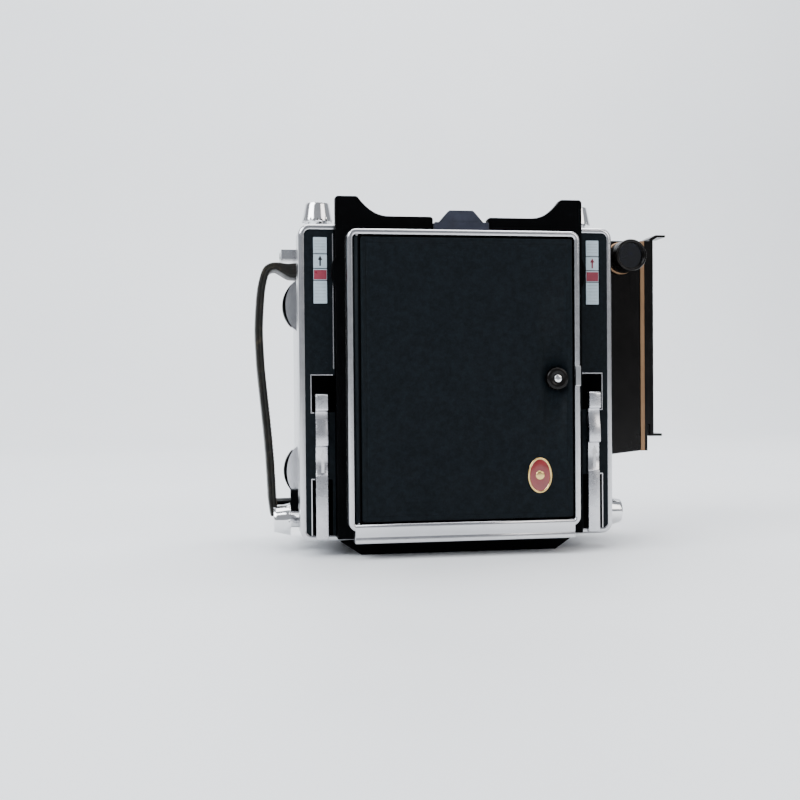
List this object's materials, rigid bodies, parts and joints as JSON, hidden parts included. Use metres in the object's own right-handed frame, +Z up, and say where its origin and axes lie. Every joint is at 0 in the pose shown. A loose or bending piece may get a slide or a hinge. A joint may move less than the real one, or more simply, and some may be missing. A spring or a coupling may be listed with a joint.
{
  "type": "folding press camera",
  "caption": "Folding large-format press camera, closed: bright-rimmed metal body, leather focusing-hood lid, side rangefinder, hand strap and drop bed.",
  "frame": {"origin": "centre of the tripod socket's mouth on the underside of the base plate, where the camera stands", "axes": "+Z up, +Y from the camera back towards the lens, +X to the right seen from behind, towards the rangefinder"},
  "size_m": [0.2458, 0.1199, 0.1991],
  "materials": {
    "satin_chrome": "satin",
    "bright_chrome": "polished",
    "satin_aluminium": "satin",
    "steel": "brushed",
    "black_paint": "matte",
    "gloss_black": "gloss",
    "slate_paint": "satin",
    "tan_trim": "satin",
    "leatherette": "fine grain",
    "strap_leather": "worn",
    "white_enamel": "satin",
    "bellows_cloth": "matte",
    "optical_glass": "coated",
    "frosted_glass": "frosted",
    "black_barrel": "anodised satin"
  },
  "bodies": {
    "camera_body": {"body_shell": "satin_chrome", "base_plate": "black_paint", "tripod_bush": "steel", "base_screws": "steel", "small_screws": "steel", "rod_guides": "black_paint", "bellows_frame": "black_paint", "inner_rails": "steel", "bed_hinge_bracket": "steel", "bed_hinge_pins": "steel", "strut_pivots": "steel", "accessory_shoe": "satin_chrome", "hand_strap": "strap_leather", "strap_upper_fitting": "satin_chrome", "strap_lower_fitting": "black_paint", "side_lugs": "satin_chrome", "rangefinder_housing": "gloss_black", "rangefinder_trim": "tan_trim", "rangefinder_cover": "gloss_black", "rangefinder_optics": "optical_glass", "side_bracket": "gloss_black", "eyepiece_tube": "gloss_black", "bellows": "bellows_cloth"},
    "knob_top_left": {"clamp_knob_top_left": "bright_chrome"},
    "knob_top_right": {"clamp_knob_top_right": "bright_chrome"},
    "knob_side_left": {"clamp_knob_side_left": "bright_chrome"},
    "knob_side_right": {"clamp_knob_side_right": "bright_chrome"},
    "release_button": {"bed_release_button": "bright_chrome"},
    "swing_back": {"back_frame": "satin_chrome", "back_rods": "steel", "rail_plates": "leatherette", "indicator_plates": "white_enamel", "bellows_rear": "bellows_cloth"},
    "lock_left": {"lock_slider_left": "satin_aluminium"},
    "lock_right": {"lock_slider_right": "satin_aluminium"},
    "spring_back": {"glass_carrier": "black_paint", "ground_glass": "frosted_glass", "glass_retainer": "steel", "hood_frame": "satin_chrome", "hood_hinge_pin": "steel", "lid_catch": "bright_chrome", "pull_tab": "slate_paint"},
    "lid": {"hood_lid": "satin_aluminium", "lid_leather": "leatherette"},
    "lid_button": {"lid_knob": "gloss_black"},
    "flap_top": {"hood_flap_top": "black_paint"},
    "flap_bottom": {"hood_flap_bottom": "black_paint"},
    "flap_right": {"hood_flap_right": "black_paint"},
    "bed": {"bed_door": "satin_aluminium", "bed_leather": "leatherette", "bed_tripod_bush": "steel", "bed_fittings": "steel"},
    "focus_track": {"focus_carriage": "steel"},
    "focus_drive": {"focus_shaft": "satin_chrome"},
    "struts": {"bed_struts": "steel"},
    "standard": {"front_standard": "satin_aluminium", "lens_board": "black_paint", "lens_barrel": "black_barrel", "lens_glass": "optical_glass"},
    "aperture": {"aperture_ring": "satin_aluminium"}
  },
  "joints": [
    {"name": "back_extension", "type": "slide", "parent": "camera_body", "child": "swing_back", "axis": [0, -1, 0], "range_m": [0, 0.015], "deforming": ["bellows_rear"]},
    {"name": "left_lock_slide", "type": "slide", "parent": "swing_back", "child": "lock_left", "axis": [0, 0, 1], "range_m": [0, 0.01]},
    {"name": "right_lock_slide", "type": "slide", "parent": "swing_back", "child": "lock_right", "axis": [0, 0, 1], "range_m": [0, 0.01]},
    {"name": "spring_back_pull", "type": "slide", "parent": "swing_back", "child": "spring_back", "axis": [0, -1, 0], "range_m": [0, 0.012], "stiffness_N_per_m": 600, "springref_m": -0.005},
    {"name": "lid_hinge", "type": "hinge", "parent": "spring_back", "child": "lid", "pos_m": [-0.0596, -0.0623, 0.095], "axis": [0, 0, -1], "range_deg": [0, 90]},
    {"name": "flap_top_hinge", "type": "hinge", "parent": "spring_back", "child": "flap_top", "pos_m": [0, -0.0577, 0.1746], "axis": [-1, 0, 0], "range_deg": [0, 90]},
    {"name": "flap_bottom_hinge", "type": "hinge", "parent": "spring_back", "child": "flap_bottom", "pos_m": [0, -0.0577, 0.0209], "axis": [1, 0, 0], "range_deg": [0, 90]},
    {"name": "flap_right_hinge", "type": "hinge", "parent": "spring_back", "child": "flap_right", "pos_m": [0.06, -0.0577, 0.09775], "axis": [0, 0, 1], "range_deg": [0, 90]},
    {"name": "lid_button_press", "type": "slide", "parent": "lid", "child": "lid_button", "axis": [0, 1, 0], "range_m": [0, 0.002], "stiffness_N_per_m": 400, "springref_m": -0.001},
    {"name": "bed_hinge", "type": "hinge", "parent": "camera_body", "child": "bed", "pos_m": [0, 0.038, 0.02], "axis": [-1, 0, 0], "range_deg": [0, 90]},
    {"name": "strut_swing", "type": "hinge", "parent": "camera_body", "child": "struts", "pos_m": [0, 0.03, 0.082], "axis": [-1, 0, 0], "range_deg": [0, 135]},
    {"name": "standard_slide", "type": "slide", "parent": "camera_body", "child": "standard", "axis": [0, 1, 0], "range_m": [0, 0.05], "deforming": ["bellows"]},
    {"name": "focus_slide", "type": "slide", "parent": "bed", "child": "focus_track", "axis": [0, 0, 1], "range_m": [0, 0.018]},
    {"name": "focus_spin", "type": "hinge", "parent": "bed", "child": "focus_drive", "pos_m": [0, 0.043, 0.138], "axis": [-1, 0, 0], "range_deg": [0, 355]},
    {"name": "aperture_turn", "type": "hinge", "parent": "standard", "child": "aperture", "pos_m": [0, 0.016, 0.095], "axis": [0, 1, 0], "range_deg": [0, 90]},
    {"name": "knob_top_left_turn", "type": "hinge", "parent": "camera_body", "child": "knob_top_left", "pos_m": [-0.077, -0.018, 0.188], "axis": [0, 0, 1], "range_deg": [0, 180]},
    {"name": "knob_top_right_turn", "type": "hinge", "parent": "camera_body", "child": "knob_top_right", "pos_m": [0.077, -0.018, 0.188], "axis": [0, 0, 1], "range_deg": [0, 180]},
    {"name": "knob_side_left_turn", "type": "hinge", "parent": "camera_body", "child": "knob_side_left", "pos_m": [-0.092, -0.018, 0.018], "axis": [1, 0, 0], "range_deg": [0, 180]},
    {"name": "knob_side_right_turn", "type": "hinge", "parent": "camera_body", "child": "knob_side_right", "pos_m": [0.092, -0.018, 0.018], "axis": [1, 0, 0], "range_deg": [0, 180]},
    {"name": "release_button_press", "type": "slide", "parent": "camera_body", "child": "release_button", "axis": [0, 0, -1], "range_m": [0, 0.002], "stiffness_N_per_m": 400, "springref_m": -0.002}
  ],
  "couplings": [
    {"joint": "flap_top_hinge", "follows": "lid_hinge", "ratio": 1},
    {"joint": "flap_bottom_hinge", "follows": "lid_hinge", "ratio": 1},
    {"joint": "flap_right_hinge", "follows": "lid_hinge", "ratio": 1},
    {"joint": "strut_swing", "follows": "bed_hinge", "ratio": 1.5},
    {"joint": "standard_slide", "follows": "bed_hinge", "m_per_rad": 0.0318},
    {"joint": "focus_spin", "follows": "focus_slide", "rad_per_m": 344}
  ]
}
